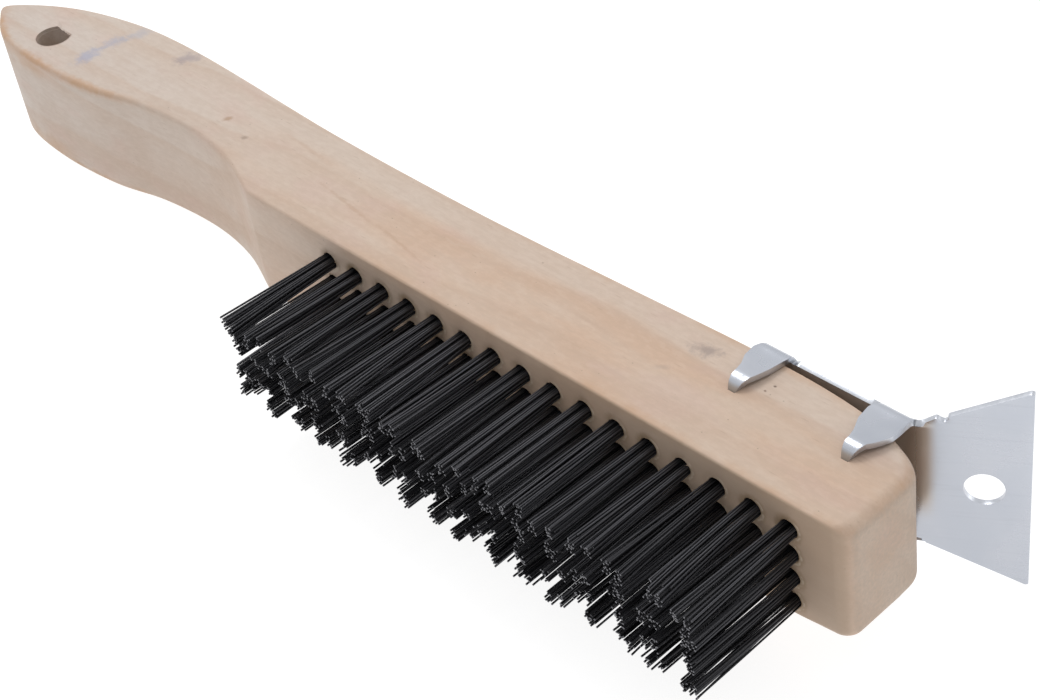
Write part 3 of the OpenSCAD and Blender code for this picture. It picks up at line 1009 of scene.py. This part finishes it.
def sheet_surface(bm):
    """The folded middle surface of the scraper."""
    halves = []
    for nicked in (True, False):
        half = softened(finely(sheet_half_outline(nicked), BLANK_STEP))
        halves.append(finely(half, EDGE_STEP))
    loop = halves[0] + [(u, -v) for u, v in halves[1][::-1]]
    circle = [2 * math.pi * k / 40 for k in range(40)]
    hole = [(BLADE_HOLE_U + BLADE_HOLE_R * math.cos(a), BLADE_HOLE_R * math.sin(a)) for a in circle]
    us = [k * 0.8 * MM for k in range(int(BEND_U / (0.8 * MM)) + 1)]
    us += [BEND_U + BEND_R * BLADE_ANGLE * k / 7 for k in range(8)]
    us += [BLADE_U + 1.2 * MM * k for k in range(1, 15)]
    vs = [FOLD_V * k / 10 for k in range(10)]
    vs += [FOLD_V + (FLAT_V - FOLD_V) * k / 6 for k in range(7)]
    vs += [FLAT_V + 0.55 * MM * k for k in range(1, 30)]
    grid = []
    for u in us:
        for v in vs:
            grid += [(u, v), (u, -v)] if v else [(u, 0.0)]
    points, triangles = filled(loop, [hole], grid, 0.27 * MM)
    verts = [bm.verts.new(sheet_point(p.x, p.y)) for p in points]
    for face in triangles:
        bm.faces.new([verts[i] for i in face])
    loose = [v for v in bm.verts if not v.link_faces]
    bmesh.ops.delete(bm, geom=loose, context="VERTS")
    bmesh.ops.recalc_face_normals(bm, faces=bm.faces)


def thickened(name, thickness, *materials):
    """The folded sheet with its thickness; the second material goes on its cut edges."""
    bm = bmesh.new()
    sheet_surface(bm)
    made = object_from(name, bm, *materials)
    solid = made.modifiers.new("thickness", "SOLIDIFY")
    solid.thickness = thickness
    solid.offset = 0
    solid.use_even_offset = True
    solid.material_offset_rim = 1 if len(materials) > 1 else 0
    bpy.context.view_layer.update()
    apply_modifiers(made)
    return made


def scraper_piece():
    made = thickened("scraper_sheet", SHEET_T, zinc_material(), sheared_edge_material())
    bevel = made.modifiers.new("edges", "BEVEL")
    bevel.width = 0.16 * MM
    bevel.segments = 3
    bevel.limit_method = "ANGLE"
    bevel.angle_limit = math.radians(50)
    bpy.context.view_layer.update()
    apply_modifiers(made)
    made.data.shade_smooth()
    made.data.set_sharp_from_angle(angle=math.radians(20))
    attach(made, "root")
    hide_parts("scraper")


# ---------------------------------------------------------------- tufts of wire

BUNDLE_W = 1.9 * MM
WIRE_R = 0.205 * MM
TRIM = 26 * MM
STAPLE_DEPTH = 11.2 * MM
WIRE_SIDES = 6
# Material slot of the wires' cut ends
CUT_SLOT = 1
# A few wires stray much further than the rest, and a few are short; the turns are in degrees
OWN_TURN = 0.34
STRAY_TURN = 2.2
STRAY_SHARE = 0.02
SHORT_SHARE = 0.06
LEG_STEPS = 5
FOLD_STEPS = 6
# How far the staple squeezes the bundle flat at its fold
FOLD_SQUEEZE = 0.62
FAN = math.radians(1.9)
# middle of each half of a tuft, and how far the middles of its wires lie from that
HALF_D = 1.06 * MM
HALF_W = 0.68 * MM
HALF_H = 1.0 * MM


def wire_seats():
    """Where the wires of half a tuft cross its hole: distance from the middle plane, and height.
    Each half is a bundle of its own, rather taller than wide."""
    pitch = 2.08 * WIRE_R
    seats = []
    for row in range(-3, 4):
        for col in range(-3, 4):
            across = (col + 0.5 * (row % 2)) * pitch
            h = row * pitch * 0.87
            if math.hypot(across / HALF_W, h / HALF_H) <= 1:
                seats.append((HALF_D + across, h))
    return seats


def tube(bm, path, radius, tone, tones):
    """A round wire along a path, with its two cut ends."""
    loops = []
    for i, p in enumerate(path):
        ahead = path[min(i + 1, len(path) - 1)]
        behind = path[max(i - 1, 0)]
        d = (ahead - behind).normalized()
        side = d.cross(Vector((0, 0, 1)))
        side = side.normalized() if side.length > 1e-6 else Vector((1, 0, 0))
        up = side.cross(d)
        loops.append([
            p + radius * (math.cos(a) * side + math.sin(a) * up)
            for a in (2 * math.pi * k / WIRE_SIDES for k in range(WIRE_SIDES))
        ])
    rings = loft(bm, loops)
    for ring in rings:
        for v in ring:
            v[tones] = tone
    for cap in (rings[0][::-1], rings[-1]):
        face = bm.faces.new(cap)
        face.material_index = CUT_SLOT


def leg(rng, side, d, h, centre, half):
    """Points of one leg of a wire, from the staple to its cut end."""
    lean_x, lean_z, bow_x, bow_z, length, shear = half
    x0, z0 = side * d, h
    mouth_x = side * (d - 0.04 * MM)
    own = STRAY_TURN if rng.random() < STRAY_SHARE else OWN_TURN
    dx = lean_x + math.radians(rng.gauss(0, own)) + side * FAN * (d - HALF_D) / TUFT_HOLE_R
    dz = lean_z + math.radians(rng.gauss(0, own)) + FAN * h / TUFT_HOLE_R
    long = length + rng.gauss(0, 0.22 * MM) + shear * h
    if rng.random() < SHORT_SHARE:
        long -= rng.uniform(0.3, 2.4) * MM
    long = min(long, TRIM + 1.0 * MM)
    points = [
        centre + Vector((x0, STAPLE_DEPTH, FOLD_SQUEEZE * z0)),
        centre + Vector((x0, 0.55 * STAPLE_DEPTH, 0.85 * z0)),
        centre + Vector((0.5 * (x0 + mouth_x), 0.2 * STAPLE_DEPTH, z0)),
        centre + Vector((mouth_x, 0, z0)),
    ]
    for k in range(1, LEG_STEPS + 1):
        t = k / LEG_STEPS
        out = long * t
        ease = t * t
        points.append(centre + Vector((
            mouth_x + math.tan(dx) * out + bow_x * ease,
            -out,
            z0 + math.tan(dz) * out + bow_z * ease,
        )))
    return points


def tuft(bm, rng, centre, seats, tones):
    """A bundle of wires folded in half round its staple."""
    halves = {}
    for side in (-1, 1):
        halves[side] = (
            side * math.radians(rng.uniform(0.0, 0.7)) + math.radians(rng.gauss(0, 0.4)),
            math.radians(rng.gauss(0, 0.4)),
            rng.gauss(0, 0.25) * MM,
            rng.gauss(0, 0.30) * MM,
            TRIM - 0.6 * MM + rng.uniform(-1.1, 0.8) * MM,
            rng.uniform(-0.35, 0.35),
        )
    for d, h in seats:
        d += rng.uniform(-0.02, 0.02) * MM
        h += rng.uniform(-0.02, 0.02) * MM
        left = leg(rng, -1, d, h, centre, halves[-1])
        right = leg(rng, 1, d, h, centre, halves[1])
        fold_c = centre + Vector((0, STAPLE_DEPTH, 0))
        fold_z = left[0].z - centre.z
        fold = []
        for k in range(1, FOLD_STEPS):
            a = math.pi * k / FOLD_STEPS
            fold.append(fold_c + Vector((-d * math.cos(a), d * math.sin(a), fold_z)))
        tube(bm, left[::-1] + fold + right, WIRE_R, rng.random(), tones)


def tuft_pieces(columns, wire, cut_wire):
    seats = wire_seats()
    for c, column in enumerate(columns, 1):
        rng = random.Random(100 + c)
        bm = bmesh.new()
        tones = bm.verts.layers.float.new("tone")
        for centre in column:
            tuft(bm, rng, centre, seats, tones)
        made = object_from(f"tufts_{c:02d}", bm, wire, cut_wire)
        made.data.shade_smooth()
        made.data.set_sharp_from_angle(angle=math.radians(65))
        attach(made, "root")
        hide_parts(f"tufts_col_{c:02d}")


# ---------------------------------------------------------------- floor and light

CEILING = (-0.45, 0.35, 0.82)
WALL_TO_CEILING = (0.24, 0.88)
FLOOR_GLOW = 0.86
# Lamps: name, place, diameter and power
LAMPS = [
    ("ceiling", (-0.45, 0.25, 1.05), 0.5, 3.8),
    ("front", (0.9, -0.7, 0.8), 0.5, 0.9),
    ("back", (0.55, 0.9, 0.16), 0.6, 1.4),
]


def room():
    """Even studio light: a wide bright ceiling behind the brush, fading to dimmer walls."""
    world = bpy.data.worlds.new("room")
    world.use_nodes = True
    tree = world.node_tree
    background = tree.nodes["Background"]
    direction = tree.nodes.new("ShaderNodeTexCoord").outputs["Generated"]
    towards = tree.nodes.new("ShaderNodeVectorMath")
    towards.operation = "DOT_PRODUCT"
    towards.inputs[1].default_value = Vector(CEILING).normalized()
    tree.links.new(direction, towards.inputs[0])
    fade = tree.nodes.new("ShaderNodeMapRange")
    fade.interpolation_type = "SMOOTHSTEP"
    for value, socket in zip((-0.15, 0.75, *WALL_TO_CEILING), fade.inputs[1:5]):
        socket.default_value = value
    tree.links.new(towards.outputs["Value"], fade.inputs[0])
    tree.links.new(fade.outputs[0], background.inputs["Strength"])
    background.inputs["Color"].default_value = (0.985, 0.99, 1, 1)
    bpy.context.scene.world = world


def lamp(name, place, size, power):
    """A round soft light that faces the brush."""
    data = bpy.data.lights.new(name, "AREA")
    data.shape = "DISK"
    data.size = size
    data.energy = power
    made = bpy.data.objects.new(name, data)
    made.location = place
    aim = 0.5 * (board_lo + board_hi)
    made.rotation_euler = (Vector(place) - aim).to_track_quat("Z", "Y").to_euler()
    bpy.context.scene.collection.objects.link(made)


def floor():
    bm = bmesh.new()
    bmesh.ops.create_grid(bm, x_segments=1, y_segments=1, size=6)
    shader = Shader("floor")
    shader.set(Base_Color=(0.30, 0.30, 0.30), Roughness=0.9, Specular_IOR_Level=0.1)
    shader.set(Emission_Color=(1, 1, 1), Emission_Strength=FLOOR_GLOW)
    made = object_from("floor", bm, shader.material)
    made.location.z = cad_bounds[0].z - 0.3 * MM


def stage():
    """A pale floor under the brush and soft light from all round it, brightest above."""
    floor()
    room()
    for values in LAMPS:
        lamp(*values)
    view = bpy.context.scene.view_settings
    view.view_transform = "Standard"
    view.look = "None"


# ---------------------------------------------------------------- build

make_camera()
columns = tuft_places()
claw_cutter = thickened("claw_cutter", SHEET_T + 0.24 * MM)
handle_piece(columns, claw_cutter)
scraper_piece()
tuft_pieces(columns, wire_material(), cut_wire_material())
steel = staple_material()
for name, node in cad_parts.items():
    if name.startswith("staples_col_"):
        for slot in node.material_slots:
            slot.material = steel
stage()
